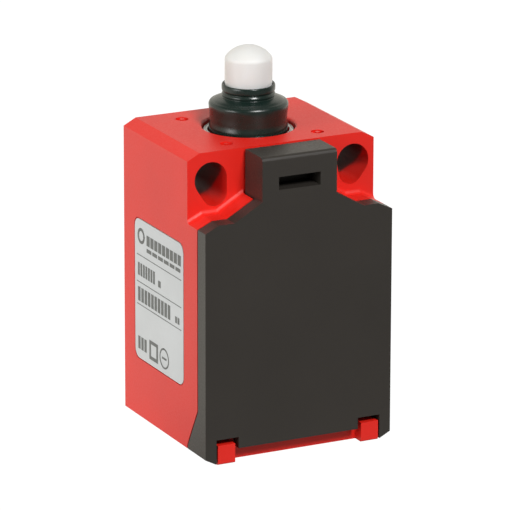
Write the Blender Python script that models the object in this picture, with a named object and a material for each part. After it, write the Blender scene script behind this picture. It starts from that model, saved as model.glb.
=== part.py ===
"""Limit switch: a red housing with a hinged cover, a sprung domed plunger and a contact block.

+Z is up and the cover faces -Y. The origin is the middle of the underside, in line with the
middle of the depth. Lengths are in millimetres; solid() and coil() turn them into metres.
"""
from math import asin, atan2, cos, hypot, pi, radians, sin, sqrt

import bmesh
import bpy

MM = 0.001
MERGE = 1e-6          # metres
GAP = 0.3             # clearance between neighbouring pieces
PAST = 1.0            # how far a cutter runs past the face that it opens
FINE_STEPS = 40       # segments of the large turned pieces
PLAIN_STEPS = 24      # segments of the small turned pieces

# Housing
HALF_WIDTH = 20.0
HEIGHT = 60.3
BACK_Y = 18.25
RECESS_Y = -10.35     # front plane around the fixing holes
RIM_Y = -14.65        # front plane of the walls behind the cover
CORNER_X = 2.6        # chamfer along the four long corners
CORNER_Z = 1.35
SIDE_WALL = 3.2
BACK_WALL = 2.4
FLOOR = 2.8
CAVITY_TOP = 43.9
SILL_TOP = 9.5
SILL_BACK = -9.9
LEDGE_FILLET = 1.0
LIP_Y = -15.8
CATCH_HALF = 4.9

# Cover outline, from the side to the middle
SHOULDER = (20.0, 46.65)
SHOULDER_TOP = (17.0, 48.05)
RAMP_FOOT = (13.8, 48.05)
BOSS_HALF = 7.95
RAMP_TOP_Z = 51.4
BOSS_TOP = 60.1
BOSS_BACK = -10.9
BOSS_ROUND = 0.9      # rounding along the boss's upper front edge
BOSS_FLOOR = 50.5
COVER_Y = -18.25
PLATE = 2.0
COVER_BOTTOM = 2.8
BOSS_WALL = 1.65
SLOT_HALF = 4.45
SLOT_Z = (53.4, 56.0)
RIM_RECESS_HALF = 18.3
RIM_RECESS_Z = (7.9, 45.5)
RIM_RECESS_CORNERS = (5.8, 1.0)
GASKET_WIDTH = 1.0

# Hinge
HINGE_Y = -11.9
HINGE_Z = 1.7
EAR_RADIUS = 1.5
EAR_LEAN = 29.3       # degrees between the ears' slanted back edge and the vertical
PIN_RADIUS = 0.8
PIN_END = 15.5
EAR_INNER = 17.65
TAB = (13.65, 17.35)
TAB_TOP = 3.9
TAB_ROUND = 0.3
NOTCH_INNER = 12.9
NOTCH_RADIUS = 7.2
LIP_SWING_RADIUS = 4.6

# Fixing holes: an upper and a lower circle (distance from the middle, height, radius) in one
# egg-shaped outline. The left hole is the longer one.
LEFT_HOLE = ((15.0, 54.8, 3.44), (14.2, 52.1, 2.65))
RIGHT_HOLE = ((15.45, 54.75, 3.4), (15.0, 52.7, 2.55))

# Plunger, boot and guide, on an axis through the middle of the top face
AXIS_Y = 3.85
HEAD_RADIUS = 4.63
HEAD_FOOT = HEIGHT + 8.1
HEAD_TOP = HEIGHT + 15.95
DOME_RADIUS = 5.65
NECK_RADIUS = 3.9
NECK_FOOT = HEIGHT + 5.6
STEM_RADIUS = 2.2
STEM_FOOT = 47.0
GUIDE_RADIUS = 6.9
GUIDE_TOP = HEIGHT + 0.8
GUIDE_FOOT = 48.2
GUIDE_NECK = 5.6
SPRING_BORE = 3.75
SPRING_SEAT = HEIGHT - 6.0
BOOT_FOOT = 7.65
RING_RADII = (7.95, 8.8)
RING_TOP = HEIGHT - 0.75
RECESS_RADIUS = 9.1
RECESS_DEPTH = 1.5
RECESS_ROUND = 0.5    # rounding where the recess meets the top face
PIT_CENTRE_Y = 3.4
PIT_OFFSET = 9.8
PIT_RADII = (0.45, 1.3)
PIT_DEPTH = 0.9

# Cable entry, tapped M20 x 1.5
ENTRY_RADIUS = 10.0
COLLAR_RADIUS = 11.5
COLLAR_TOP = 9.5

# Label, on the -X side
LABEL_Y = (-8.5, 13.3)
LABEL_Z = (13.4, 41.9)
LABEL_CORNER = 1.8
LABEL_MARGIN = 0.2
LABEL_THICKNESS = 0.3
LABEL_POCKET = 0.35

# Contact block
BLOCK_HALF = 14.8
BLOCK_Y = (-7.5, 11.7)
BLOCK_Z = (17.4, 43.5)
CHAMBER_HALF = 6.5
CHAMBER_BACK = 9.4
CHAMBER_Z = (19.0, 42.0)
POCKET_INNER = 7.6
POCKET_BACK = 2.9
POCKET_HALF_Z = 3.6
UPPER_TERMINAL_Z = 39.0
LOWER_TERMINAL_Z = 24.5
TERMINAL_X = 11.0
PAD_HALF = 3.1
PAD_Y = (1.3, 2.6)
CLAMP_Y = (-0.1, 1.0)
TONGUE_INNER = 3.4
TONGUE_THICKNESS = 0.8
TONGUE_BACK = 5.55
TIP_X = 4.6
TIP_RADIUS = 1.1
TIP_HEIGHT = 0.3
BRIDGE_HALF = 6.0
BRIDGE_HALF_Y = 1.4
BRIDGE_THICKNESS = 0.6
BREAK_BRIDGE_Z = 37.8
MAKE_BRIDGE_Z = 28.3
BREAK_TONGUE_Z = 39.3
MAKE_TONGUE_Z = 24.9
ROD_TOP = STEM_FOOT - GAP
ROD_BAR = (2.2, 2.8)  # half sizes along X and Y
ROD_BAR_Z = (26.9, 41.2)
ROD_WINDOW_HALF = 1.8
BREAK_WINDOW_Z = (34.6, 40.6)
MAKE_WINDOW_Z = (28.0, 33.4)
PILOT_RADIUS = 1.2
PILOT_FOOT = 24.9
BLOCK_SCREW_X = 11.2
BLOCK_SCREW_Z = 31.75
PILLAR_FRONT = 12.0
PILLAR_RADIUS = 3.0
PILLAR_BORE = 1.6
SEAT_Y = -1.0
BLOCK_HOLE = 1.65
CLEARANCE_HOLE = 1.85
WINDOW_THICKNESS = 1.4


def clear_scene():
    for item in list(bpy.data.objects):
        bpy.data.objects.remove(item, do_unlink=True)


def material(name, colour, roughness, metallic=0.0):
    made = bpy.data.materials.new(name)
    made.use_nodes = True
    shader = made.node_tree.nodes["Principled BSDF"]
    shader.inputs["Base Color"].default_value = (*colour, 1.0)
    shader.inputs["Roughness"].default_value = roughness
    shader.inputs["Metallic"].default_value = metallic
    made.diffuse_color = (*colour, 1.0)
    return made


def empty(name, location):
    made = bpy.data.objects.new(name, None)
    made.empty_display_size = 5 * MM
    made.location = [value * MM for value in location]
    bpy.context.collection.objects.link(made)
    return made


def solid(name, mesh_edit, finish=None, location=(0, 0, 0), parent=None, smooth=False):
    """Close the edit mesh, scale it to metres and put it in the scene."""
    bmesh.ops.scale(mesh_edit, vec=(MM, MM, MM), verts=mesh_edit.verts)
    bmesh.ops.remove_doubles(mesh_edit, verts=mesh_edit.verts, dist=MERGE)
    bmesh.ops.recalc_face_normals(mesh_edit, faces=mesh_edit.faces)
    mesh = bpy.data.meshes.new(name)
    mesh_edit.to_mesh(mesh)
    mesh_edit.free()
    if smooth:
        mesh.shade_smooth()
        mesh.set_sharp_from_angle(angle=radians(35))
    if finish:
        mesh.materials.append(finish)
    made = bpy.data.objects.new(name, mesh)
    made.location = [value * MM for value in location]
    bpy.context.collection.objects.link(made)
    if parent:
        made.parent = parent
        made.matrix_parent_inverse = parent_inverse(parent)
    return made


def parent_inverse(parent):
    bpy.context.view_layer.update()
    return parent.matrix_world.inverted()


def prism(outline, axis, low, high):
    """Edit mesh of an outline pulled along X, Y or Z. The outline holds the other two values."""
    place = {
        "X": lambda point, depth: (depth, point[0], point[1]),
        "Y": lambda point, depth: (point[0], depth, point[1]),
        "Z": lambda point, depth: (point[0], point[1], depth),
    }[axis]
    mesh_edit = bmesh.new()
    start = [mesh_edit.verts.new(place(point, low)) for point in outline]
    face = mesh_edit.faces.new(start)
    pulled = bmesh.ops.extrude_face_region(mesh_edit, geom=[face])
    moved = [item for item in pulled["geom"] if isinstance(item, bmesh.types.BMVert)]
    step = place((0, 0), high - low)
    bmesh.ops.translate(mesh_edit, verts=moved, vec=step)
    return mesh_edit


def block(low, high):
    outline = [(low[0], low[1]), (high[0], low[1]), (high[0], high[1]), (low[0], high[1])]
    return prism(outline, "Z", low[2], high[2])


def rod(axis, centre, radius, low, high, steps=PLAIN_STEPS):
    return prism(arc(centre, radius, 0, 2 * pi, steps)[:-1], axis, low, high)


def turned(profile, closed, steps=PLAIN_STEPS):
    """Edit mesh of (radius, height) points spun about Z."""
    mesh_edit = bmesh.new()
    verts = [mesh_edit.verts.new((radius, 0, height)) for radius, height in profile]
    edges = [mesh_edit.edges.new(pair) for pair in zip(verts, verts[1:])]
    if closed:
        edges.append(mesh_edit.edges.new((verts[-1], verts[0])))
    bmesh.ops.spin(mesh_edit, geom=verts + edges, cent=(0, 0, 0), axis=(0, 0, 1),
                   angle=2 * pi, steps=steps, use_merge=True)
    return mesh_edit


def shifted(mesh_edit, step):
    bmesh.ops.translate(mesh_edit, verts=mesh_edit.verts, vec=step)
    return mesh_edit


def loft(slices):
    """Edit mesh through outlines of equal length: [(y, [(x, z), ...]), ...]."""
    mesh_edit = bmesh.new()
    rings = [[mesh_edit.verts.new((x, y, z)) for x, z in outline] for y, outline in slices]
    for near, far in zip(rings, rings[1:]):
        for index in range(len(near)):
            after = (index + 1) % len(near)
            mesh_edit.faces.new((near[index], near[after], far[after], far[index]))
    mesh_edit.faces.new(rings[0])
    mesh_edit.faces.new(rings[-1])
    return mesh_edit


def arc(centre, radius, start, end, steps):
    turn = (end - start) / steps
    return [(centre[0] + radius * cos(start + turn * index),
             centre[1] + radius * sin(start + turn * index)) for index in range(steps + 1)]


def rounded(low, high, low_radius, high_radius, steps=4):
    """Outline of a rectangle whose lower and upper corners have their own radii."""
    corners = [
        ((high[0] - low_radius, low[1] + low_radius), low_radius, -pi / 2),
        ((high[0] - high_radius, high[1] - high_radius), high_radius, 0),
        ((low[0] + high_radius, high[1] - high_radius), high_radius, pi / 2),
        ((low[0] + low_radius, low[1] + low_radius), low_radius, pi),
    ]
    return [point for centre, radius, start in corners
            for point in arc(centre, radius, start, start + pi / 2, steps)]


def mirrored(half):
    """Whole outline from the points of its +X half, which run upwards."""
    return half + [(-x, z) for x, z in reversed(half)]


def combine(target, mesh_edit, operation):
    name = f"{target.name}_{operation.lower()}_{len(target.modifiers) + 1}"
    tool = solid(name, mesh_edit)
    tool.hide_render = True
    tool.display_type = "WIRE"
    modifier = target.modifiers.new(name, "BOOLEAN")
    modifier.operation = operation
    modifier.object = tool
    tool.location = target.location
    tool.rotation_euler = target.rotation_euler


def cut(target, mesh_edit):
    combine(target, mesh_edit, "DIFFERENCE")


def fuse(target, mesh_edit):
    combine(target, mesh_edit, "UNION")


def coil(name, finish, radius, wire, low, high, turns, parent=None, per_turn=10):
    """Compression spring about the plunger's axis, with one close turn at each end."""
    close_pitch = wire + 0.12
    open_turns = turns - 2
    open_pitch = (high - low - wire - 2 * close_pitch) / open_turns
    curve = bpy.data.curves.new(name, "CURVE")
    curve.dimensions = "3D"
    curve.bevel_depth = wire / 2 * MM
    curve.bevel_resolution = 1
    curve.use_fill_caps = True
    spline = curve.splines.new("POLY")
    count = turns * per_turn
    spline.points.add(count)
    for index in range(count + 1):
        turn = index / per_turn
        rise = min(turn, 1) * close_pitch + max(turn - turns + 1, 0) * close_pitch
        rise += min(max(turn - 1, 0), open_turns) * open_pitch
        angle = 2 * pi * turn
        spline.points[index].co = (radius * cos(angle) * MM, (AXIS_Y + radius * sin(angle)) * MM,
                                   (low + wire / 2 + rise) * MM, 1)
    curve.materials.append(finish)
    made = bpy.data.objects.new(name, curve)
    bpy.context.collection.objects.link(made)
    if parent:
        made.parent = parent
        made.matrix_parent_inverse = parent_inverse(parent)
    return made


def corner_wedge():
    """Profile of the chamfer that trims the two lower long corners."""
    slope = CORNER_Z / CORNER_X
    inner = HALF_WIDTH - CORNER_X - 2 * PAST
    outer = HALF_WIDTH + 2 * PAST
    foot = -2 * PAST * slope
    return [(inner, foot), (outer, foot), (outer, CORNER_Z + 2 * PAST * slope)]


def flipped(outline):
    return [(-x, z) for x, z in outline]


def ear_profile(radius, side_y, foot_z, front_y):
    """(y, z) outline of a hinge ear: round about the pin, then a slanted back edge."""
    lean = radians(EAR_LEAN)
    line_start = (HINGE_Y + radius * cos(lean), HINGE_Z + radius * sin(lean))
    length = (line_start[0] - side_y) / sin(lean)
    line_end = (side_y, line_start[1] + length * cos(lean))
    round_end = arc((HINGE_Y, HINGE_Z), radius, -pi / 2, lean, 10)
    return [(front_y, foot_z)] + round_end + [line_end, (front_y, line_end[1])]


def fixing_hole(side):
    """Egg-shaped outline round the two circles of a fixing hole."""
    upper, lower = RIGHT_HOLE if side > 0 else LEFT_HOLE
    (upper_x, upper_z, upper_r), (lower_x, lower_z, lower_r) = upper, lower
    lean = atan2(lower_z - upper_z, lower_x - upper_x)
    spread = hypot(upper_x - lower_x, upper_z - lower_z)
    tangent = sqrt(spread ** 2 - (upper_r - lower_r) ** 2)
    turn = atan2(tangent, upper_r - lower_r)
    start, end = lean + turn, lean - turn + 2 * pi
    outline = arc((upper_x, upper_z), upper_r, start, end, 30)
    outline += arc((lower_x, lower_z), lower_r, end - 2 * pi, start, 16)
    return [(side * x, z) for x, z in outline]


def housing(finish):
    boss_gap = BOSS_HALF + GAP
    seat_top = BOSS_FLOOR - GAP

    def ledge(rise):
        return mirrored([
            (HALF_WIDTH - CORNER_X, 0), (HALF_WIDTH, CORNER_Z), (HALF_WIDTH, SHOULDER[1] + rise),
            (SHOULDER_TOP[0], SHOULDER_TOP[1] + rise), (RAMP_FOOT[0], RAMP_FOOT[1] + rise),
            (boss_gap, RAMP_TOP_Z - 0.1 + rise), (boss_gap, seat_top)])

    full = mirrored([
        (HALF_WIDTH - CORNER_X, 0), (HALF_WIDTH, CORNER_Z),
        (HALF_WIDTH, SHOULDER[1] + LEDGE_FILLET), (HALF_WIDTH, HEIGHT - CORNER_Z),
        (HALF_WIDTH - CORNER_X, HEIGHT), (boss_gap, HEIGHT), (boss_gap / 2, HEIGHT)])
    slices = [(RIM_Y, ledge(0))]
    for degrees in range(0, 91, 15):
        angle = radians(degrees)
        slices.append((RECESS_Y - LEDGE_FILLET * (1 - sin(angle)),
                       ledge(LEDGE_FILLET * (1 - cos(angle)))))
    slices += [(RECESS_Y, full), (BACK_Y, full)]
    made = solid("housing", loft(slices), finish)

    inner = HALF_WIDTH - SIDE_WALL
    back = BACK_Y - BACK_WALL
    cut(made, prism(rounded((-inner, FLOOR), (inner, CAVITY_TOP), 1.5, 1.0), "Y", SILL_BACK, back))
    cut(made, prism(rounded((-inner, SILL_TOP), (inner, CAVITY_TOP), 4.3, 1.0), "Y",
                    RIM_Y - PAST, SILL_BACK + PAST))
    fuse(made, rod("Z", (0, AXIS_Y), COLLAR_RADIUS, FLOOR - PAST, COLLAR_TOP, FINE_STEPS))
    cut(made, rod("Z", (0, AXIS_Y), ENTRY_RADIUS, -PAST, COLLAR_TOP + PAST, FINE_STEPS))
    cut(made, rod("Z", (0, AXIS_Y), GUIDE_RADIUS + GAP, CAVITY_TOP - PAST, HEIGHT + PAST, FINE_STEPS))
    cut(made, ring_recess())
    for side in (-1, 1):
        cut(made, prism(fixing_hole(side), "Y", RECESS_Y - PAST, BACK_Y + PAST))
        ear_span = sorted((side * TAB[1], side * (HALF_WIDTH + PAST)))
        cut(made, prism(ear_profile(EAR_RADIUS + GAP, RIM_Y - GAP, -PAST, COVER_Y), "X", *ear_span))
        cut(made, block((ear_span[0], HINGE_Y, -PAST),
                        (ear_span[1], HINGE_Y + EAR_RADIUS + GAP, HINGE_Z)))
        fuse(made, prism(tab_profile(), "X", *sorted((side * TAB[0], side * TAB[1]))))
        cut(made, rod("X", (HINGE_Y, HINGE_Z), PIN_RADIUS + GAP,
                      *sorted((side * (PIN_END - GAP), side * (TAB[1] + PAST)))))
        fuse(made, rod("Y", (side * BLOCK_SCREW_X, BLOCK_SCREW_Z), PILLAR_RADIUS,
                       PILLAR_FRONT, back + PAST))
        cut(made, rod("Y", (side * BLOCK_SCREW_X, BLOCK_SCREW_Z), PILLAR_BORE,
                      PILLAR_FRONT - PAST, BACK_Y - 0.9))
        for depth in (-1, 1):
            cut(made, annular_pit(side * PIT_OFFSET, PIT_CENTRE_Y + depth * PIT_OFFSET))
    lip_half = TAB[0] + GAP
    fuse(made, block((-lip_half, LIP_Y, 0), (lip_half, RIM_Y + PAST, FLOOR)))
    fuse(made, prism(catch_profile(), "X", -CATCH_HALF, CATCH_HALF))
    pocket = rounded((LABEL_Y[0] - LABEL_MARGIN, LABEL_Z[0] - LABEL_MARGIN),
                     (LABEL_Y[1] + LABEL_MARGIN, LABEL_Z[1] + LABEL_MARGIN), LABEL_CORNER, LABEL_CORNER)
    cut(made, prism(pocket, "X", -HALF_WIDTH - PAST, -HALF_WIDTH + LABEL_POCKET))
    return made


def ring_recess():
    """Cutter for the ring's seat: a round wall that flares out to the top face."""
    floor = HEIGHT - RECESS_DEPTH
    rim = RECESS_RADIUS + RECESS_ROUND
    profile = [(0, floor), (RECESS_RADIUS, floor)]
    profile += arc((rim, HEIGHT - RECESS_ROUND), RECESS_ROUND, pi, pi / 2, 5)
    profile += [(rim, HEIGHT + PAST), (0, HEIGHT + PAST)]
    return shifted(turned(profile, False, FINE_STEPS), (0, AXIS_Y, 0))


def annular_pit(x, y):
    inner, outer = PIT_RADII
    floor, top = HEIGHT - PIT_DEPTH, HEIGHT + PAST
    profile = [(inner, floor), (outer, floor), (outer, top), (inner, top)]
    return shifted(turned(profile, True), (x, y, 0))


def tab_profile():
    lower = arc((COVER_Y + TAB_ROUND, TAB_ROUND), TAB_ROUND, -pi / 2, -pi, 4)
    return [(RIM_Y + PAST, 0)] + lower + [(COVER_Y, TAB_TOP), (RIM_Y + PAST, TAB_TOP)]


def catch_profile():
    """(y, z) outline of the hooked tongue that the cover's boss snaps over."""
    foot = RECESS_Y + PAST
    return [(foot, 56.4), (-14.5, 56.4), (-14.9, 56.9), (-13.6, 57.7), (-13.4, 57.3), (foot, 57.3)]


def rim_outline(inset):
    """Outline of the recess in the cover's back, brought in for the gasket that lies in it."""
    half = RIM_RECESS_HALF - inset
    low, high = RIM_RECESS_Z
    lower_radius, upper_radius = RIM_RECESS_CORNERS
    return rounded((-half, low + inset), (half, high - inset), lower_radius - inset,
                   upper_radius - inset / 2)


def cover(finish, hinge):
    outline = mirrored([
        (EAR_INNER, COVER_BOTTOM), (EAR_INNER, HINGE_Z - EAR_RADIUS),
        (HALF_WIDTH, HINGE_Z - EAR_RADIUS), SHOULDER, SHOULDER_TOP, RAMP_FOOT,
        (BOSS_HALF, RAMP_TOP_Z)])
    rim_back = RIM_Y - GAP
    made = solid("cover", prism(outline, "Y", COVER_Y, rim_back), finish, parent=hinge)
    cut(made, prism(rim_outline(0), "Y", COVER_Y + PLATE, rim_back + PAST))
    boss = [(BOSS_BACK, BOSS_TOP), (BOSS_BACK, BOSS_FLOOR), (COVER_Y, BOSS_FLOOR)]
    boss += arc((COVER_Y + BOSS_ROUND, BOSS_TOP - BOSS_ROUND), BOSS_ROUND, pi, pi / 2, 6)
    fuse(made, prism(boss, "X", -BOSS_HALF, BOSS_HALF))
    hollow_half = BOSS_HALF - BOSS_WALL
    cut(made, block((-hollow_half, COVER_Y + BOSS_WALL, BOSS_FLOOR + 1.8),
                    (hollow_half, RECESS_Y + PAST, BOSS_TOP - 1.5)))
    cut(made, block((-SLOT_HALF, COVER_Y - PAST, SLOT_Z[0]),
                    (SLOT_HALF, COVER_Y + BOSS_WALL + PAST, SLOT_Z[1])))
    cut(made, rod("X", (HINGE_Y, HINGE_Z), LIP_SWING_RADIUS, -NOTCH_INNER - PAST,
                  NOTCH_INNER + PAST, FINE_STEPS))
    for side in (-1, 1):
        ear = ear_profile(EAR_RADIUS, rim_back, HINGE_Z - EAR_RADIUS, COVER_Y + PLATE)
        fuse(made, prism(ear, "X", *sorted((side * EAR_INNER, side * HALF_WIDTH))))
        cut(made, rod("X", (HINGE_Y, HINGE_Z), NOTCH_RADIUS,
                      *sorted((side * NOTCH_INNER, side * EAR_INNER)), FINE_STEPS))
        wedge = corner_wedge() if side > 0 else flipped(corner_wedge())
        cut(made, prism(wedge, "Y", COVER_Y - PAST, HINGE_Y + EAR_RADIUS + PAST))
        fuse(made, rod("X", (HINGE_Y, HINGE_Z), PIN_RADIUS,
                       *sorted((side * PIN_END, side * (EAR_INNER + PAST))), 16))
    return made


def cover_gasket(finish, hinge):
    low_y = COVER_Y + PLATE + GAP
    made = solid("cover_gasket", prism(rim_outline(GAP), "Y", low_y, RIM_Y - GAP), finish,
                 parent=hinge)
    cut(made, prism(rim_outline(GAP + GASKET_WIDTH), "Y", low_y - PAST, RIM_Y + PAST))


def label(finish):
    outline = rounded((LABEL_Y[0], LABEL_Z[0]), (LABEL_Y[1], LABEL_Z[1]), LABEL_CORNER, LABEL_CORNER)
    solid("label", prism(outline, "X", -HALF_WIDTH, -HALF_WIDTH + LABEL_THICKNESS), finish)


def retaining_ring(finish, centre):
    inner, outer = RING_RADII
    low = HEIGHT - RECESS_DEPTH + GAP
    groove = (inner + outer) / 2
    profile = [(inner, low), (outer, low), (outer, RING_TOP), (groove + 0.2, RING_TOP),
               (groove, RING_TOP - 0.15), (groove - 0.2, RING_TOP), (inner, RING_TOP)]
    solid("retaining_ring", turned(profile, True, FINE_STEPS), finish, parent=centre,
          location=(0, AXIS_Y, 0), smooth=True)


def plunger_guide(finish, centre):
    shoulder = HEIGHT - RECESS_DEPTH - 0.1
    profile = [
        (STEM_RADIUS + GAP, GUIDE_FOOT), (GUIDE_RADIUS - 0.6, GUIDE_FOOT),
        (GUIDE_RADIUS, GUIDE_FOOT + 0.6), (GUIDE_RADIUS, shoulder), (GUIDE_NECK, shoulder),
        (GUIDE_NECK, GUIDE_TOP), (SPRING_BORE, GUIDE_TOP), (SPRING_BORE, SPRING_SEAT),
        (STEM_RADIUS + GAP, SPRING_SEAT)]
    solid("plunger_guide", turned(profile, True, FINE_STEPS), finish, parent=centre,
          location=(0, AXIS_Y, 0), smooth=True)


def boot(finish, centre):
    """Rubber boot: a skirt with a sloping shoulder, a creased neck and a lip round the plunger."""
    foot = HEIGHT - RECESS_DEPTH + GAP
    outside = [(BOOT_FOOT, foot), (BOOT_FOOT, HEIGHT + 0.2), (7.5, HEIGHT + 0.9), (7.55, HEIGHT + 2.5),
               (7.75, HEIGHT + 3.8)]
    outside += arc((6.85, HEIGHT + 4.4), 0.9, 0, radians(60), 3)
    outside += [(5.6, HEIGHT + 5.65), (5.1, HEIGHT + 5.85), (5.2, HEIGHT + 6.2), (5.0, HEIGHT + 6.8),
                (5.2, HEIGHT + 7.3), (5.2, HEIGHT + 8.3)]
    inside = [(5.05, HEIGHT + 8.45), (4.9, HEIGHT + 8.45), (4.9, HEIGHT + 7.1), (4.2, HEIGHT + 7.1),
              (4.2, HEIGHT + 4.6), (4.5, HEIGHT + 4.1), (6.3, HEIGHT + 3.5), (6.6, HEIGHT + 2.6),
              (6.6, HEIGHT - 0.2), (6.3, foot)]
    solid("boot", turned(outside + inside, True, FINE_STEPS), finish, parent=centre,
          location=(0, AXIS_Y, 0), smooth=True)


def plunger(finish, slide):
    profile = [(0, STEM_FOOT), (STEM_RADIUS - 0.4, STEM_FOOT), (STEM_RADIUS, STEM_FOOT + 0.4),
               (STEM_RADIUS, NECK_FOOT), (NECK_RADIUS, NECK_FOOT), (NECK_RADIUS, HEAD_FOOT),
               (HEAD_RADIUS, HEAD_FOOT)]
    edge = asin((HEAD_RADIUS - 0.15) / DOME_RADIUS)
    dome_centre = (0, HEAD_TOP - DOME_RADIUS)
    dome = arc(dome_centre, DOME_RADIUS, pi / 2 - edge, pi / 2, 9)
    profile += [(HEAD_RADIUS, dome[0][1] - 0.25)] + dome[:-1]
    profile += [(0, HEAD_TOP)]
    profile = [(radius, height - HEIGHT) for radius, height in profile]
    solid("plunger", turned(profile, False, FINE_STEPS), finish, parent=slide,
          location=(0, AXIS_Y, HEIGHT), smooth=True)


def push_rod(finish, slide):
    """Rod under the plunger, with a window for each contact bridge and a pilot for its spring."""
    half_x, half_y = ROD_BAR
    low, high = ROD_BAR_Z
    made = solid("push_rod", block((-half_x, AXIS_Y - half_y, low), (half_x, AXIS_Y + half_y, high)),
                 finish, parent=slide)
    fuse(made, rod("Z", (0, AXIS_Y), STEM_RADIUS - 0.1, high - PAST, ROD_TOP))
    fuse(made, rod("Z", (0, AXIS_Y), PILOT_RADIUS, PILOT_FOOT, low + PAST / 2, 16))
    for window in (BREAK_WINDOW_Z, MAKE_WINDOW_Z):
        cut(made, block((-half_x - PAST, AXIS_Y - ROD_WINDOW_HALF, window[0]),
                        (half_x + PAST, AXIS_Y + ROD_WINDOW_HALF, window[1])))


def contact_bridge(name, finish, foot, tip_side, slide):
    """Flat bridge with a contact tip at each end, above it or below it."""
    top = foot + BRIDGE_THICKNESS
    outline = rounded((-BRIDGE_HALF, AXIS_Y - BRIDGE_HALF_Y), (BRIDGE_HALF, AXIS_Y + BRIDGE_HALF_Y),
                      0.5, 0.5, 2)
    made = solid(name, prism(outline, "Z", foot, top), finish, parent=slide)
    reach = (top - 0.2, top + TIP_HEIGHT) if tip_side > 0 else (foot - TIP_HEIGHT, foot + 0.2)
    for side in (-1, 1):
        fuse(made, rod("Z", (side * TIP_X, AXIS_Y), TIP_RADIUS, *reach, 16))


def terminal_strip(name, finish, side, centre_z, tongue_z, tip_side):
    """Screw pad in a pocket, with a tongue that carries a fixed contact tip into the chamber."""
    inner, outer = side * (TERMINAL_X - PAD_HALF), side * (TERMINAL_X + PAD_HALF)
    pad = block((min(inner, outer), PAD_Y[0], centre_z - PAD_HALF),
                (max(inner, outer), PAD_Y[1], centre_z + PAD_HALF))
    made = solid(name, pad, finish)
    reach = sorted((side * TONGUE_INNER, side * (TERMINAL_X - PAD_HALF + 0.8)))
    top = tongue_z + TONGUE_THICKNESS
    fuse(made, block((reach[0], PAD_Y[0] + 0.15, tongue_z), (reach[1], TONGUE_BACK, top)))
    tip = (top - 0.2, top + TIP_HEIGHT) if tip_side > 0 else (tongue_z - TIP_HEIGHT, tongue_z + 0.2)
    fuse(made, rod("Z", (side * TIP_X, AXIS_Y), TIP_RADIUS, *tip, 16))
    cut(made, rod("Y", (side * TERMINAL_X, centre_z), CLEARANCE_HOLE, PAD_Y[0] - PAST,
                  PAD_Y[1] + PAST, 16))


def clamp_plate(name, finish, side, centre_z):
    half = PAD_HALF - 0.2
    centre_x = side * TERMINAL_X
    outline = rounded((centre_x - half, centre_z - half), (centre_x + half, centre_z + half),
                      0.6, 0.6, 2)
    made = solid(name, prism(outline, "Y", *CLAMP_Y), finish)
    cut(made, rod("Y", (centre_x, centre_z), CLEARANCE_HOLE, CLAMP_Y[0] - PAST, CLAMP_Y[1] + PAST, 16))


def slotted_screw(name, finish, location, head_radius, head_height, shank_radius, shank_length):
    """Pan-head screw facing -Y, with its origin under the head."""
    profile = [(0, -shank_length), (shank_radius - 0.4, -shank_length),
               (shank_radius, -shank_length + 0.4), (shank_radius, 0), (head_radius, 0),
               (head_radius, head_height - 0.5), (head_radius - 0.5, head_height), (0, head_height)]
    made = solid(name, turned(profile, False), finish, location=location, smooth=True)
    made.rotation_euler = (pi / 2, 0, 0)
    slot = head_radius + PAST
    cut(made, block((-slot, -0.4, head_height - 1.0), (slot, 0.4, head_height + PAST)))


def contact_block_base(finish):
    front, back = BLOCK_Y
    low, high = BLOCK_Z
    made = solid("contact_block_base",
                 block((-BLOCK_HALF, front, low), (BLOCK_HALF, back, high)), finish)
    cut(made, block((-CHAMBER_HALF, front - PAST, CHAMBER_Z[0]),
                    (CHAMBER_HALF, CHAMBER_BACK, CHAMBER_Z[1])))
    cut(made, rod("Z", (0, AXIS_Y), STEM_RADIUS + 0.4, CHAMBER_Z[1] - PAST, high + PAST))
    for side in (-1, 1):
        for centre_z, tongue_z in ((UPPER_TERMINAL_Z, BREAK_TONGUE_Z), (LOWER_TERMINAL_Z, MAKE_TONGUE_Z)):
            reach = sorted((side * POCKET_INNER, side * (BLOCK_HALF + PAST)))
            cut(made, block((reach[0], front - PAST, centre_z - POCKET_HALF_Z),
                            (reach[1], POCKET_BACK, centre_z + POCKET_HALF_Z)))
            passage = sorted((side * (CHAMBER_HALF - 0.5), side * (TERMINAL_X - PAD_HALF + 1.1)))
            cut(made, block((passage[0], PAD_Y[0] - 0.2, tongue_z - GAP),
                            (passage[1], TONGUE_BACK + GAP, tongue_z + TONGUE_THICKNESS + GAP)))
            cut(made, rod("Y", (side * TERMINAL_X, centre_z), CLEARANCE_HOLE, POCKET_BACK - PAST,
                          POCKET_BACK + 5, 16))
        cut(made, rod("Y", (side * BLOCK_SCREW_X, BLOCK_SCREW_Z), PILLAR_RADIUS, front - PAST, SEAT_Y))
        cut(made, rod("Y", (side * BLOCK_SCREW_X, BLOCK_SCREW_Z), BLOCK_HOLE, SEAT_Y - PAST,
                      back + PAST, 16))


def contact_block_cover(finish):
    outline = rounded((-CHAMBER_HALF + GAP, CHAMBER_Z[0] + GAP), (CHAMBER_HALF - GAP, CHAMBER_Z[1] - GAP),
                      0.6, 0.6, 2)
    front = BLOCK_Y[0] + 0.2
    back = front + WINDOW_THICKNESS
    made = solid("contact_block_cover", prism(outline, "Y", front, back), finish)
    cut(made, rod("Y", (0, BLOCK_SCREW_Z), 1.2, front - PAST, back + PAST, 16))


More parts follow.
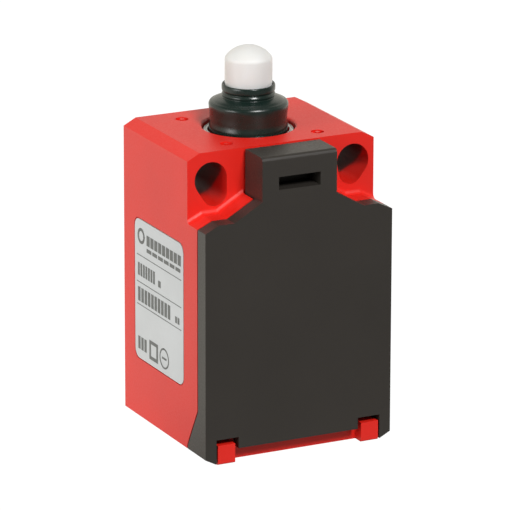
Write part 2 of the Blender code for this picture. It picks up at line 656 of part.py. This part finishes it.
def contact_block(finishes, slide, break_slide, make_slide):
    contact_block_base(finishes["black"])
    contact_block_cover(finishes["clear"])
    push_rod(finishes["black"], slide)
    contact_bridge("contact_bridge_nc", finishes["brass"], BREAK_BRIDGE_Z, 1, break_slide)
    contact_bridge("contact_bridge_no", finishes["brass"], MAKE_BRIDGE_Z, -1, make_slide)
    for circuit, centre_z, tongue_z, tip_side in (("nc", UPPER_TERMINAL_Z, BREAK_TONGUE_Z, -1),
                                                  ("no", LOWER_TERMINAL_Z, MAKE_TONGUE_Z, 1)):
        for place, side in (("left", -1), ("right", 1)):
            end = f"{circuit}_{place}"
            terminal_strip(f"terminal_strip_{end}", finishes["brass"], side, centre_z, tongue_z,
                           tip_side)
            clamp_plate(f"clamp_plate_{end}", finishes["steel"], side, centre_z)
            slotted_screw(f"terminal_screw_{end}", finishes["steel"],
                          (side * TERMINAL_X, CLAMP_Y[0] - GAP, centre_z), 2.8, 2.1, 1.5, 6.6)
    for place, side in (("left", -1), ("right", 1)):
        slotted_screw(f"block_screw_{place}", finishes["steel"],
                      (side * BLOCK_SCREW_X, SEAT_Y - GAP, BLOCK_SCREW_Z), 2.6, 2.3, 1.3, 16)


def springs(steel, slide, break_slide, make_slide):
    coil("plunger_spring", steel, 3.1, 0.55, SPRING_SEAT + GAP, NECK_FOOT - GAP, 8)
    coil("rod_return_spring", steel, 1.9, 0.4, CHAMBER_Z[0] + GAP, ROD_BAR_Z[0] - GAP, 7)
    coil("bridge_spring_nc", steel, 1.3, 0.3, BREAK_WINDOW_Z[0] + GAP, BREAK_BRIDGE_Z - GAP, 4,
         slide)
    coil("bridge_spring_no", steel, 1.3, 0.3, MAKE_BRIDGE_Z + BRIDGE_THICKNESS + GAP,
         MAKE_WINDOW_Z[1] - GAP, 5, slide)


def main():
    clear_scene()
    finishes = {
        "red": material("red_plastic", (0.75, 0.035, 0.02), 0.4),
        "cover": material("cover_plastic", (0.035, 0.033, 0.03), 0.5),
        "black": material("block_plastic", (0.03, 0.03, 0.035), 0.5),
        "clear": material("window_plastic", (0.5, 0.55, 0.6), 0.2),
        "white": material("plunger_plastic", (0.85, 0.83, 0.8), 0.35),
        "rubber": material("boot_rubber", (0.02, 0.02, 0.02), 0.3),
        "gasket": material("gasket_rubber", (0.03, 0.03, 0.03), 0.7),
        "guide": material("guide_plastic", (0.1, 0.1, 0.1), 0.5),
        "ring": material("ring_metal", (0.5, 0.53, 0.55), 0.35, 1.0),
        "brass": material("contact_brass", (0.7, 0.5, 0.2), 0.3, 1.0),
        "steel": material("plated_steel", (0.6, 0.6, 0.6), 0.3, 1.0),
        "label": material("label_foil", (0.7, 0.72, 0.72), 0.5),
    }
    hinge = empty("cover_hinge_axis", (0, HINGE_Y, HINGE_Z))
    top = empty("top_centre", (0, AXIS_Y, HEIGHT))
    slide = empty("plunger_slide_axis", (0, AXIS_Y, HEIGHT))
    break_slide = empty("bridge_nc_slide_axis", (0, AXIS_Y, BREAK_BRIDGE_Z))
    make_slide = empty("bridge_no_slide_axis", (0, AXIS_Y, MAKE_BRIDGE_Z))
    break_slide.parent = slide
    make_slide.parent = slide
    for child in (break_slide, make_slide):
        child.matrix_parent_inverse = parent_inverse(slide)

    housing(finishes["red"])
    cover(finishes["cover"], hinge)
    cover_gasket(finishes["gasket"], hinge)
    label(finishes["label"])
    retaining_ring(finishes["ring"], top)
    plunger_guide(finishes["guide"], top)
    boot(finishes["rubber"], top)
    plunger(finishes["white"], slide)
    contact_block(finishes, slide, break_slide, make_slide)
    springs(finishes["steel"], slide, break_slide, make_slide)


main()
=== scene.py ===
"""Looks of the limit switch: finishes, the rubber boot, springs, label print and fine edges.

Sizes are in millimetres; mm() turns them into metres. Z is up, and the cover faces -Y.
"""
from math import asin, cos, pi, radians, sin

import bmesh
import bpy
from mathutils import Matrix, Vector

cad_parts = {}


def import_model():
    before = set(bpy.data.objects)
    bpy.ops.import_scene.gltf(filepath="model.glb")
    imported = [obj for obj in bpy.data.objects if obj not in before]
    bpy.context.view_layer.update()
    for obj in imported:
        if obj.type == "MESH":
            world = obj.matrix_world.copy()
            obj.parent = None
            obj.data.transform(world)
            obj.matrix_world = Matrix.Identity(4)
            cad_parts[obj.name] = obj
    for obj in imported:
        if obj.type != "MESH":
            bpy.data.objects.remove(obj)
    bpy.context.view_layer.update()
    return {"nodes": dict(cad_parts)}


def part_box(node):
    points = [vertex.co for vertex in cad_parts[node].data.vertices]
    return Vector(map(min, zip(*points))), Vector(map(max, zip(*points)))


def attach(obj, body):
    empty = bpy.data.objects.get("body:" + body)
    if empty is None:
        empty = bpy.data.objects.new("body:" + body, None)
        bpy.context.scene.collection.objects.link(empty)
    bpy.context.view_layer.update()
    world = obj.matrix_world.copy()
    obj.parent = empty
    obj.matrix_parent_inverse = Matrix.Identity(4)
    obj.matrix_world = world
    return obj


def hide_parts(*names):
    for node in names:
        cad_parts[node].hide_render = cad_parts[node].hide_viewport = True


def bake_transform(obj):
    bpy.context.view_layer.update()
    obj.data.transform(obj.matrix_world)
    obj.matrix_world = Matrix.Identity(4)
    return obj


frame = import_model()


def mm(*values):
    """Metres from millimetres: one number, or a tuple of them."""
    scaled = tuple(value * 0.001 for value in values)
    return scaled if len(scaled) > 1 else scaled[0]


def span(node):
    """Lowest and highest corners of a node, in millimetres."""
    low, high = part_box(node)
    return [value * 1000 for value in low], [value * 1000 for value in high]


HOUSING_LOW, HOUSING_HIGH = span("housing")
COVER_FRONT = span("cover")[0][1]
BOOT_LOW, BOOT_HIGH = span("boot")
RING_LOW, RING_HIGH = span("retaining_ring")
PLUNGER_LOW, PLUNGER_HIGH = span("plunger")
LABEL_LOW, LABEL_HIGH = span("label")
TOP = HOUSING_HIGH[2]
AXIS_Y = (BOOT_LOW[1] + BOOT_HIGH[1]) / 2
HEAD_RADIUS = (PLUNGER_HIGH[0] - PLUNGER_LOW[0]) / 2
FLAT_ANGLE = 0.5      # degrees; facets that meet at less than this are joined into one face
EDGE_ANGLE = 28       # degrees; edges that turn by more than this are rounded
RED_COLOUR = (0.74, 0.014, 0.007)
BORE_SHADOW_COLOUR = (0.14, 0.028, 0.026)

# Fixing holes: painted shadow, a dark tone on their walls
RECESS_Y = -10.35                     # front plane around the holes
HOLE_TOP = 58.2
SHADE_SLOPE = 1.05                    # height lost per unit of depth along the shadow's edge
SHADE_EDGE = (-0.6, 0.8)              # softness of the shadow's edge, below and above its line
HOLES_INNER_SIDE = (11.0, 11.3)       # each pair: where the tone begins and where it is full
HOLES_OUTER_SIDE = (19.3, 19.0)
HOLES_UNDER = (48.9, 49.2)
HOLES_OVER = (58.9, 58.6)
HOLES_MOUTH_DEPTH = (0.2, 1.2)
HOLES_BACK_Y = (18.1, 16.0)

# Camera, fitted to the photograph: degrees and millimetres
SENSOR_WIDTH = 36
CAMERA_AZIMUTH = -26.468
CAMERA_ELEVATION = 17.038
CAMERA_ROLL = 0.121
CAMERA_DISTANCE = 943.09
CAMERA_TARGET = (0.0, 0.855, 34.677)
CAMERA_LENS = 341.5

# Stage and lights
WARM_WHITE = (1.0, 0.96, 0.86, 1.0)
FLOOR_DROP = 5.2      # leaves room for the cover, which hangs 4.7 mm below the housing when open
FLOOR_HALF = 1600
FLOOR_GLOW_Y = (-60, 60)
FLOOR_SEEN = 1.05     # strength of the floor for the camera, just past white
LAMP_DISTANCE = 900
LAMP_AIM_HEIGHT = 35
WORLD_FILL = 0.12


# ---------------------------------------------------------------- materials

class Finish:
    """A Principled material with short calls for the nodes that drive it."""

    def __init__(self, name, colour, roughness, metallic=0.0, **settings):
        self.material = bpy.data.materials.new(name)
        self.material.use_nodes = True
        self.nodes = self.material.node_tree.nodes
        self.links = self.material.node_tree.links
        self.shader = self.nodes["Principled BSDF"]
        self.set("Base Color", (*colour, 1.0))
        self.set("Roughness", roughness)
        self.set("Metallic", metallic)
        for socket, value in settings.items():
            self.set(socket.replace("_", " "), value)
        self.place = self.nodes.new("ShaderNodeTexCoord").outputs["Object"]

    def set(self, socket, value):
        self.shader.inputs[socket].default_value = value

    def noise(self, scale, detail):
        texture = self.nodes.new("ShaderNodeTexNoise")
        texture.inputs["Scale"].default_value = scale
        texture.inputs["Detail"].default_value = detail
        self.links.new(self.place, texture.inputs["Vector"])
        return texture.outputs["Fac"]

    def spread(self, value, low, high, start=0.3, end=0.7):
        """Map a texture's value from start..end to low..high."""
        node = self.nodes.new("ShaderNodeMapRange")
        node.inputs["From Min"].default_value = start
        node.inputs["From Max"].default_value = end
        node.inputs["To Min"].default_value = low
        node.inputs["To Max"].default_value = high
        self.links.new(value, node.inputs["Value"])
        return node.outputs["Result"]

    def blend_colour(self, factor, first, second):
        node = self.nodes.new("ShaderNodeMix")
        node.data_type = "RGBA"
        node.inputs["A"].default_value = (*first, 1.0)
        node.inputs["B"].default_value = (*second, 1.0)
        self.links.new(factor, node.inputs["Factor"])
        return node.outputs["Result"]

    def drive(self, socket, output):
        self.links.new(output, self.shader.inputs[socket])

    def bump(self, height, strength, distance):
        node = self.nodes.new("ShaderNodeBump")
        node.inputs["Strength"].default_value = strength
        node.inputs["Distance"].default_value = distance
        self.links.new(height, node.inputs["Height"])
        self.links.new(node.outputs["Normal"], self.shader.inputs["Normal"])


def shade(colour, factor):
    """Colour made lighter or darker by a factor."""
    return tuple(value * factor for value in colour)


def moulded(name, colour, roughness, grain=2600.0, bump=0.12, **settings):
    """Moulded plastic: spark-eroded grain, faint flow marks and uneven gloss."""
    made = Finish(name, colour, roughness, **settings)
    tone = made.spread(made.noise(scale=55.0, detail=3.0), 0.0, 1.0)
    made.drive("Base Color", made.blend_colour(tone, shade(colour, 0.94), shade(colour, 1.05)))
    grain_height = made.noise(scale=grain, detail=4.0)
    made.drive("Roughness", made.spread(grain_height, roughness - 0.06, roughness + 0.08))
    made.bump(grain_height, strength=bump, distance=mm(0.02))
    return made.material


def metal(name, colour, roughness):
    """Worked metal with fine tool marks."""
    made = Finish(name, colour, roughness, metallic=1.0)
    marks = made.noise(scale=1800.0, detail=3.0)
    made.drive("Roughness", made.spread(marks, roughness - 0.08, roughness + 0.12))
    tone = made.spread(made.noise(scale=120.0, detail=2.0), 0.0, 1.0)
    made.drive("Base Color", made.blend_colour(tone, shade(colour, 0.88), shade(colour, 1.05)))
    made.bump(marks, strength=0.1, distance=mm(0.01))
    return made.material


def rubber(name, colour, roughness):
    """Smooth rubber with a dusty bloom in patches."""
    made = Finish(name, colour, roughness)
    bloom = made.spread(made.noise(scale=160.0, detail=4.0), 0.0, 1.0, start=0.35, end=0.75)
    made.drive("Base Color", made.blend_colour(bloom, colour, shade(colour, 1.2)))
    gloss = made.noise(scale=420.0, detail=3.0)
    made.drive("Roughness", made.spread(gloss, roughness - 0.05, roughness + 0.1))
    made.bump(made.noise(scale=3000.0, detail=2.0), strength=0.06, distance=mm(0.01))
    return made.material


def smooth_ramp(tree, value, start, end, low=0.0, high=1.0):
    """Value that runs smoothly from low to high as the given one runs from start to end."""
    node = tree.nodes.new("ShaderNodeMapRange")
    node.interpolation_type = "SMOOTHSTEP"
    for socket, number in zip(("From Min", "From Max", "To Min", "To Max"), (start, end, low, high)):
        node.inputs[socket].default_value = number
    tree.links.new(value, node.inputs["Value"])
    return node.outputs["Result"]


def calculate(tree, operation, *values):
    """Result of a Math node on outputs and plain numbers."""
    node = tree.nodes.new("ShaderNodeMath")
    node.operation = operation
    for socket, value in zip(node.inputs, values):
        if isinstance(value, (int, float)):
            socket.default_value = value
        else:
            tree.links.new(value, socket)
    return node.outputs["Value"]


def coordinates(tree, kind):
    """X, Y and Z outputs of one kind of texture coordinate."""
    axes = tree.nodes.new("ShaderNodeSeparateXYZ")
    tree.links.new(tree.nodes.new("ShaderNodeTexCoord").outputs[kind], axes.inputs["Vector"])
    return axes.outputs


def housing_plastic():
    """Red plastic with painted shadow: its fixing holes turn dark behind a line that slopes from their
    upper edge.
    """
    made = moulded("red_plastic", RED_COLOUR, 0.42)
    tree = made.node_tree
    x, y, z = coordinates(tree, "Object")
    depth = calculate(tree, "SUBTRACT", y, mm(RECESS_Y))
    height = calculate(tree, "SUBTRACT", z, mm(HOLE_TOP))
    past_line = calculate(tree, "ADD", calculate(tree, "MULTIPLY", depth, SHADE_SLOPE), height)
    factor = smooth_ramp(tree, past_line, *mm(*SHADE_EDGE))
    from_middle = calculate(tree, "ABSOLUTE", x)
    for value, limits in ((from_middle, HOLES_INNER_SIDE), (from_middle, HOLES_OUTER_SIDE),
                          (z, HOLES_UNDER), (z, HOLES_OVER),
                          (depth, HOLES_MOUTH_DEPTH), (y, HOLES_BACK_Y)):
        factor = calculate(tree, "MULTIPLY", factor, smooth_ramp(tree, value, *mm(*limits)))
    # Painted shadow: the base colour is mixed towards a dark tone deep in the fixing holes
    base_colour = tree.nodes["Principled BSDF"].inputs["Base Color"]
    dark = tree.nodes.new("ShaderNodeMix")
    dark.data_type = "RGBA"
    tree.links.new(base_colour.links[0].from_socket, dark.inputs["A"])
    dark.inputs["B"].default_value = (*BORE_SHADOW_COLOUR, 1.0)
    tree.links.new(factor, dark.inputs["Factor"])
    tree.links.new(dark.outputs["Result"], base_colour)
    return made


RED = housing_plastic()
DARK = moulded("cover_plastic", (0.029, 0.025, 0.021), 0.42, bump=0.2)
BLACK = moulded("block_plastic", (0.02, 0.02, 0.022), 0.38)
GUIDE = moulded("guide_plastic", (0.045, 0.045, 0.045), 0.45)
WHITE = moulded("plunger_plastic", (0.70, 0.70, 0.69), 0.42, grain=1400.0, bump=0.05,
                Subsurface_Weight=0.7, Subsurface_Scale=0.004, Subsurface_Radius=(1.0, 0.95, 0.9))
BOOT = rubber("boot_rubber", (0.007, 0.016, 0.013), 0.24)
SEAL = rubber("gasket_rubber", (0.014, 0.014, 0.014), 0.55)
RING = metal("ring_metal", (0.58, 0.60, 0.60), 0.30)
BRASS = metal("contact_brass", (0.74, 0.53, 0.22), 0.3)
STEEL = metal("plated_steel", (0.60, 0.60, 0.58), 0.28)
WIRE = metal("spring_wire", (0.50, 0.50, 0.49), 0.24)
FILM = moulded("label_film", (0.60, 0.63, 0.66), 0.40, grain=900.0, bump=0.03)
INK = moulded("label_ink", (0.13, 0.14, 0.14), 0.5, grain=900.0, bump=0.03)
WINDOW = moulded("window_plastic", (0.30, 0.33, 0.35), 0.2, bump=0.03, Alpha=0.5)


# ---------------------------------------------------------------- mesh tools

def add_object(name, mesh, material):
    mesh.materials.clear()
    mesh.materials.append(material)
    made = bpy.data.objects.new(name, mesh)
    bpy.context.collection.objects.link(made)
    return made


def finish_mesh(name, mesh_edit, material, smooth_angle=35):
    """Object from a bmesh in millimetres, smooth except at edges sharper than the angle."""
    bmesh.ops.scale(mesh_edit, vec=mm(1, 1, 1), verts=mesh_edit.verts)
    bmesh.ops.remove_doubles(mesh_edit, verts=mesh_edit.verts, dist=1e-7)
    bmesh.ops.recalc_face_normals(mesh_edit, faces=mesh_edit.faces)
    mesh = bpy.data.meshes.new(name)
    mesh_edit.to_mesh(mesh)
    mesh_edit.free()
    mesh.shade_smooth()
    mesh.set_sharp_from_angle(angle=radians(smooth_angle))
    return add_object(name, mesh, material)


def arc(centre, radius, start, end, steps):
    """Points along an arc, with its ends given in radians."""
    turn = (end - start) / steps
    return [(centre[0] + radius * cos(start + turn * index),
             centre[1] + radius * sin(start + turn * index)) for index in range(steps + 1)]


def turned(name, profile, material, closed=True, steps=128, smooth_angle=40):
    """(radius, height) profile spun about the plunger's axis; an open one ends on the axis."""
    mesh_edit = bmesh.new()
    verts = [mesh_edit.verts.new((radius, AXIS_Y, height)) for radius, height in profile]
    edges = [mesh_edit.edges.new(pair) for pair in zip(verts, verts[1:])]
    if closed:
        edges.append(mesh_edit.edges.new((verts[-1], verts[0])))
    bmesh.ops.spin(mesh_edit, geom=verts + edges, cent=(0, AXIS_Y, 0), axis=(0, 0, 1),
                   angle=2 * pi, steps=steps, use_merge=True)
    return finish_mesh(name, mesh_edit, material, smooth_angle)


def fine_edges(node, width, segments=3):
    """Round a node's edges without touching its base mesh."""
    piece = frame["nodes"][node]
    flatten = piece.modifiers.new("flatten", "DECIMATE")
    flatten.decimate_type = "DISSOLVE"
    flatten.angle_limit = radians(FLAT_ANGLE)
    edge = piece.modifiers.new("edge", "BEVEL")
    edge.width = mm(width)
    edge.segments = segments
    edge.limit_method = "ANGLE"
    edge.angle_limit = radians(EDGE_ANGLE)
    edge.use_clamp_overlap = True
    edge.harden_normals = True


def paint(node, material):
    """Give every slot of a CAD node one material."""
    for slot in frame["nodes"][node].material_slots:
        slot.material = material


# ---------------------------------------------------------------- boot and plunger

def between(share, before, start, end, after):
    """Catmull-Rom value at a share of the way from start to end."""
    return 0.5 * (2 * start + (end - before) * share
                  + (2 * before - 5 * start + 4 * end - after) * share ** 2
                  + (3 * start - before - 3 * end + after) * share ** 3)


def smooth_line(points, steps=5):
    """Catmull-Rom curve through a profile's points."""
    padded = [points[0]] + points + [points[-1]]
    line = []
    for four_points in zip(padded, padded[1:], padded[2:], padded[3:]):
        for step in range(steps):
            line.append(tuple(between(step / steps, *values) for values in zip(*four_points)))
    return line + [points[-1]]


def above_top(*points):
    """(radius, height) points whose heights are given from the housing's top face."""
    return [(radius, TOP + height) for radius, height in points]


def boot():
    """Rubber boot: a waisted skirt, a sloping shoulder, a creased neck and a lip round the plunger."""
    foot = BOOT_LOW[2]
    rim = [(7.5, foot), (7.65, foot + 0.15)]
    skirt = above_top((7.65, 0.1), (7.5, 0.95), (7.52, 1.7), (7.56, 2.5), (7.68, 3.5),
                      (7.74, 4.1), (7.72, 4.55), (7.45, 4.95), (7.0, 5.13), (6.85, 5.2),
                      (6.4, 5.42), (5.6, 5.7), (5.12, 5.85))
    neck = above_top((5.08, 5.95), (5.18, 6.2), (5.2, 6.4), (5.08, 6.65), (4.98, 6.8),
                     (5.05, 6.98), (5.18, 7.2), (5.22, 7.6), (5.22, 8.0), (5.15, 8.28),
                     (5.02, 8.4), (4.88, 8.36))
    inside = above_top((4.74, 8.2), (4.72, 7.1), (4.2, 7.0), (4.2, 4.6), (4.5, 4.1),
                       (6.3, 3.5), (6.6, 2.6), (6.6, -0.2))
    profile = rim + smooth_line(skirt) + smooth_line(neck) + inside + [(6.3, foot)]
    made = turned("rubber_boot", profile, BOOT, steps=160, smooth_angle=60)
    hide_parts("boot")
    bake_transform(made)


def plunger():
    """White plunger with a shallow dome, a rounded edge and a stem."""
    foot = PLUNGER_LOW[2]
    stem_radius = 2.2
    stem_chamfer = 0.4
    neck_radius = 3.9
    neck_foot = TOP + 5.6
    head_foot = TOP + 8.1
    edge = 1.2
    dome_radius = 5.65
    dome_centre = PLUNGER_HIGH[2] - dome_radius
    lean = asin((HEAD_RADIUS - edge) / (dome_radius - edge))
    edge_height = dome_centre + (dome_radius - edge) * cos(lean)
    profile = [(0, foot), (stem_radius - stem_chamfer, foot), (stem_radius, foot + stem_chamfer),
               (stem_radius, neck_foot), (neck_radius, neck_foot),
               (neck_radius, head_foot), (HEAD_RADIUS, head_foot)]
    profile += arc((HEAD_RADIUS - edge, edge_height), edge, 0, pi / 2 - lean, 6)
    profile += arc((0, dome_centre), dome_radius, pi / 2 - lean, pi / 2, 30)[1:-1]
    profile += [(0, PLUNGER_HIGH[2])]
    made = turned("domed_plunger", profile, WHITE, closed=False, smooth_angle=50)
    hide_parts("plunger")
    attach(made, "plunger")


def ring():
    """Grey metal ring with a concentric groove and soft edges."""
    inner = 7.95
    outer = (RING_HIGH[0] - RING_LOW[0]) / 2
    middle = (inner + outer) / 2
    low = RING_LOW[2]
    high = RING_HIGH[2]
    corner = 0.1
    groove_top = 0.16      # half its width at the face, and its depth
    groove_floor = 0.08    # half its width at the bottom
    profile = [(inner, low), (outer, low), (outer, high - corner), (outer - corner, high),
               (middle + groove_top, high), (middle + groove_floor, high - groove_top),
               (middle - groove_floor, high - groove_top), (middle - groove_top, high),
               (inner + corner, high), (inner, high - corner)]
    made = turned("turned_ring", profile, RING)
    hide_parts("retaining_ring")
    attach(made, "housing")


# ---------------------------------------------------------------- springs

def spring(node, wire, turns):
    """Coil with a close turn at each end, between the two bodies that it presses."""
    low, high = span(node)
    radius = (high[0] - low[0]) / 2 - wire / 2
    close_gap = 0.12
    close_pitch = wire + close_gap
    open_turns = turns - 2
    open_pitch = (high[2] - low[2] - wire - 2 * close_pitch) / open_turns
    points_per_turn = 36
    curve = bpy.data.curves.new(node + "_coil", "CURVE")
    curve.dimensions = "3D"
    curve.bevel_depth = mm(wire / 2)
    curve.bevel_resolution = 3
    curve.use_fill_caps = True
    line = curve.splines.new("POLY")
    line.points.add(turns * points_per_turn)
    for index, point in enumerate(line.points):
        turn = index / points_per_turn
        rise = (min(turn, 1) + max(turn - turns + 1, 0)) * close_pitch
        rise += min(max(turn - 1, 0), open_turns) * open_pitch
        angle = 2 * pi * turn
        point.co = (*mm(radius * cos(angle), AXIS_Y + radius * sin(angle),
                        low[2] + wire / 2 + rise), 1)
    shape = bpy.data.objects.new(node + "_curve", curve)
    bpy.context.collection.objects.link(shape)
    mesh = bpy.data.meshes.new_from_object(shape.evaluated_get(
        bpy.context.evaluated_depsgraph_get()))
    bpy.data.objects.remove(shape)
    mesh.shade_smooth()
    mesh.set_sharp_from_angle(angle=radians(60))
    made = add_object(node + "_coil", mesh, WIRE)
    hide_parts(node)
    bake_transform(made)


# ---------------------------------------------------------------- label

def flat_print(name, outlines):
    """Thin printed shapes on the label, from (y, z) outlines."""
    lift = 0.005
    depth = 0.03
    mesh_edit = bmesh.new()
    face_x = LABEL_LOW[0] - lift
    for outline in outlines:
        face = mesh_edit.faces.new([mesh_edit.verts.new((face_x, y, z)) for y, z in outline])
        pulled = bmesh.ops.extrude_face_region(mesh_edit, geom=[face])
        moved = [item for item in pulled["geom"] if isinstance(item, bmesh.types.BMVert)]
        bmesh.ops.translate(mesh_edit, verts=moved, vec=(-depth, 0, 0))
    made = finish_mesh(name, mesh_edit, INK)
    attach(made, "housing")


def bar(left, top, width, height):
    """(y, z) outline of a bar placed from the label's upper left corner, as seen from -X."""
    y = LABEL_HIGH[1] - left
    z = LABEL_HIGH[2] - top
    return [(y, z), (y - width, z), (y - width, z - height), (y, z - height)]


def bars(count, pitch, left, top, width, height):
    """Row of equal bars, with the first one placed like bar()."""
    return [bar(left + pitch * index, top, width, height) for index in range(count)]


def frame_pieces(left, top, outer, inner, steps):
    """Ring or square frame round a point placed like bar(), as one quad for each step."""
    centre = (LABEL_HIGH[1] - left, LABEL_HIGH[2] - top)
    start = pi / 4
    far = arc(centre, outer, start, start + 2 * pi, steps)
    near = arc(centre, inner, start, start + 2 * pi, steps)
    return [[far[index], far[index + 1], near[index + 1], near[index]] for index in range(steps)]


def label_print():
    """Generic print: three rules, a heading with a ring, two rows of bars and a row of marks."""
    margin = 0.9
    rule_length = LABEL_HIGH[1] - LABEL_LOW[1] - 2 * margin
    flat_print("label_rules", [bar(margin, top, rule_length, 0.16) for top in (7.25, 12.75, 17.35)])

    heading = frame_pieces(left=2.9, top=3.3, outer=1.6, inner=1.0, steps=32)
    heading += bars(9, pitch=1.75, left=5.4, top=2.5, width=1.35, height=2.1)
    heading += bars(6, pitch=2.6, left=5.4, top=5.2, width=2.1, height=0.75)
    flat_print("label_heading", heading)

    rows = bars(7, pitch=1.15, left=1.4, top=8.9, width=0.75, height=2.6)
    rows.append(bar(10.6, 10.2, 1.1, 1.3))
    rows += bars(10, pitch=1.5, left=1.4, top=13.85, width=1.05, height=2.9)
    rows += bars(2, pitch=1.1, left=18.2, top=15.25, width=0.75, height=1.3)
    flat_print("label_rows", rows)

    marks = bars(3, pitch=1.4, left=1.4, top=24.0, width=0.95, height=2.6)
    marks += frame_pieces(left=8.4, top=25.4, outer=2.75, inner=1.75, steps=4)
    marks += frame_pieces(left=13.2, top=25.4, outer=2.1, inner=1.75, steps=36)
    marks.append(bar(12.2, 25.2, 2.0, 0.4))
    flat_print("label_marks", marks)


# ---------------------------------------------------------------- slot tray, painted shade

def slot_shadow_tray():
    """Thin dark tray behind the screwdriver slot, open to the front, that closes the slot off: painted
    shade standing in for the shadow inside the slot.
    """
    half = 4.8
    wall = 0.25
    front = COVER_FRONT + 1.7
    back = -12.8
    low = 53.1
    high = 56.25
    tray = [((-half, back - wall, low), (half, back, high)),
            ((-half, front, low), (half, back - wall, low + wall)),
            ((-half, front, high - wall), (half, back - wall, high)),
            ((-half, front, low + wall), (-half + wall, back - wall, high - wall)),
            ((half - wall, front, low + wall), (half, back - wall, high - wall))]
    mesh_edit = bmesh.new()
    for near, far in tray:
        middle = [(start + end) / 2 for start, end in zip(near, far)]
        sides = [end - start for start, end in zip(near, far)]
        matrix = Matrix.Translation(middle) @ Matrix.Diagonal((*sides, 1))
        bmesh.ops.create_cube(mesh_edit, size=1, matrix=matrix)
    made = finish_mesh("slot_shadow_tray", mesh_edit, DARK)
    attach(made, "cover")


# ---------------------------------------------------------------- carried-over nodes

def finish_nodes():
    """Finishes and fine edges of the CAD nodes that aren't replaced."""
    for node, material in (("housing", RED), ("cover", DARK), ("cover_gasket", SEAL),
                           ("plunger_guide", GUIDE), ("label", FILM),
                           ("contact_block_base", BLACK), ("push_rod", BLACK),
                           ("contact_block_cover", WINDOW)):
        paint(node, material)
    for node in frame["nodes"]:
        if node.startswith(("contact_bridge", "terminal_strip")):
            paint(node, BRASS)
        if node.startswith(("terminal_screw", "block_screw", "clamp_plate")):
            paint(node, STEEL)
            fine_edges(node, 0.12, 2)
    fine_edges("housing", 0.22)
    fine_edges("cover", 0.5)
    fine_edges("contact_block_base", 0.2, 2)
    fine_edges("contact_block_cover", 0.15, 2)
    fine_edges("label", 0.05, 2)


# ---------------------------------------------------------------- stage, light, camera

def floor():
    """White ground that glows more behind the object, and looks plain white to the camera."""
    mesh_edit = bmesh.new()
    bmesh.ops.create_grid(mesh_edit, x_segments=1, y_segments=1, size=FLOOR_HALF)
    bmesh.ops.translate(mesh_edit, verts=mesh_edit.verts, vec=(0, 0, HOUSING_LOW[2] - FLOOR_DROP))
    surface = Finish("pale_floor", (0.2, 0.2, 0.2), 0.9)
    surface.set("Emission Color", WARM_WHITE)
    tree = surface.material.node_tree
    y = coordinates(tree, "Object")["Y"]
    surface.drive("Emission Strength", smooth_ramp(tree, y, *mm(*FLOOR_GLOW_Y), low=0.03, high=0.85))
    seen = tree.nodes.new("ShaderNodeEmission")
    seen.inputs["Strength"].default_value = FLOOR_SEEN
    mix = tree.nodes.new("ShaderNodeMixShader")
    path = tree.nodes.new("ShaderNodeLightPath")
    tree.links.new(path.outputs["Is Camera Ray"], mix.inputs[0])
    tree.links.new(surface.shader.outputs[0], mix.inputs[1])
    tree.links.new(seen.outputs[0], mix.inputs[2])
    tree.links.new(mix.outputs[0], tree.nodes["Material Output"].inputs["Surface"])
    finish_mesh("floor", mesh_edit, surface.material)


def world():
    """Dim fill all round, with a broad warm glow low behind the object."""
    made = bpy.data.worlds.new("studio")
    bpy.context.scene.world = made
    made.use_nodes = True
    tree = made.node_tree
    _, y, z = coordinates(tree, "Generated")
    behind = smooth_ramp(tree, y, -0.55, 0.05)
    low_down = smooth_ramp(tree, z, 0.45, 0.75, low=0.75, high=0.05)
    strength = calculate(tree, "MULTIPLY_ADD", behind, low_down, WORLD_FILL)
    background = tree.nodes["Background"]
    background.inputs["Color"].default_value = WARM_WHITE
    tree.links.new(strength, background.inputs["Strength"])


def direction(azimuth, elevation):
    """Unit vector from the object, in degrees. Azimuth 0 is in front of the cover."""
    turn = radians(azimuth)
    rise = radians(elevation)
    return Vector((sin(turn) * cos(rise), -cos(turn) * cos(rise), sin(rise)))


def softbox(name, azimuth, elevation, size, power):
    """Area light aimed at the object."""
    away = direction(azimuth, elevation)
    data = bpy.data.lights.new(name, "AREA")
    data.shape = "RECTANGLE"
    data.size, data.size_y = mm(*size)
    data.energy = power
    lamp = bpy.data.objects.new(name, data)
    lamp.location = Vector(mm(0, 0, LAMP_AIM_HEIGHT)) + away * mm(LAMP_DISTANCE)
    lamp.rotation_euler = (-away).to_track_quat("-Z", "Y").to_euler()
    bpy.context.collection.objects.link(lamp)


def lights():
    softbox("key", azimuth=3, elevation=43, size=(220, 220), power=7.3)
    softbox("left", azimuth=-78, elevation=15, size=(420, 500), power=3.3)


def camera():
    """Camera fitted to the straight edges of the photographed switch."""
    back = direction(CAMERA_AZIMUTH, CAMERA_ELEVATION)
    data = bpy.data.cameras.new("camera")
    data.sensor_width = SENSOR_WIDTH
    data.lens = CAMERA_LENS
    made = bpy.data.objects.new("camera", data)
    made.rotation_mode = "QUATERNION"
    made.location = Vector(mm(*CAMERA_TARGET)) + back * mm(CAMERA_DISTANCE)
    turn = Matrix.Rotation(radians(CAMERA_ROLL), 3, back)
    made.rotation_quaternion = (turn @ (-back).to_track_quat("-Z", "Y").to_matrix()).to_quaternion()
    bpy.context.collection.objects.link(made)
    bpy.context.scene.camera = made


def main():
    bpy.context.scene.view_settings.view_transform = "Standard"
    finish_nodes()
    boot()
    plunger()
    ring()
    slot_shadow_tray()
    spring("plunger_spring", wire=0.55, turns=8)
    spring("rod_return_spring", wire=0.4, turns=7)
    spring("bridge_spring_nc", wire=0.3, turns=4)
    spring("bridge_spring_no", wire=0.3, turns=5)
    label_print()
    floor()
    world()
    lights()
    camera()


main()
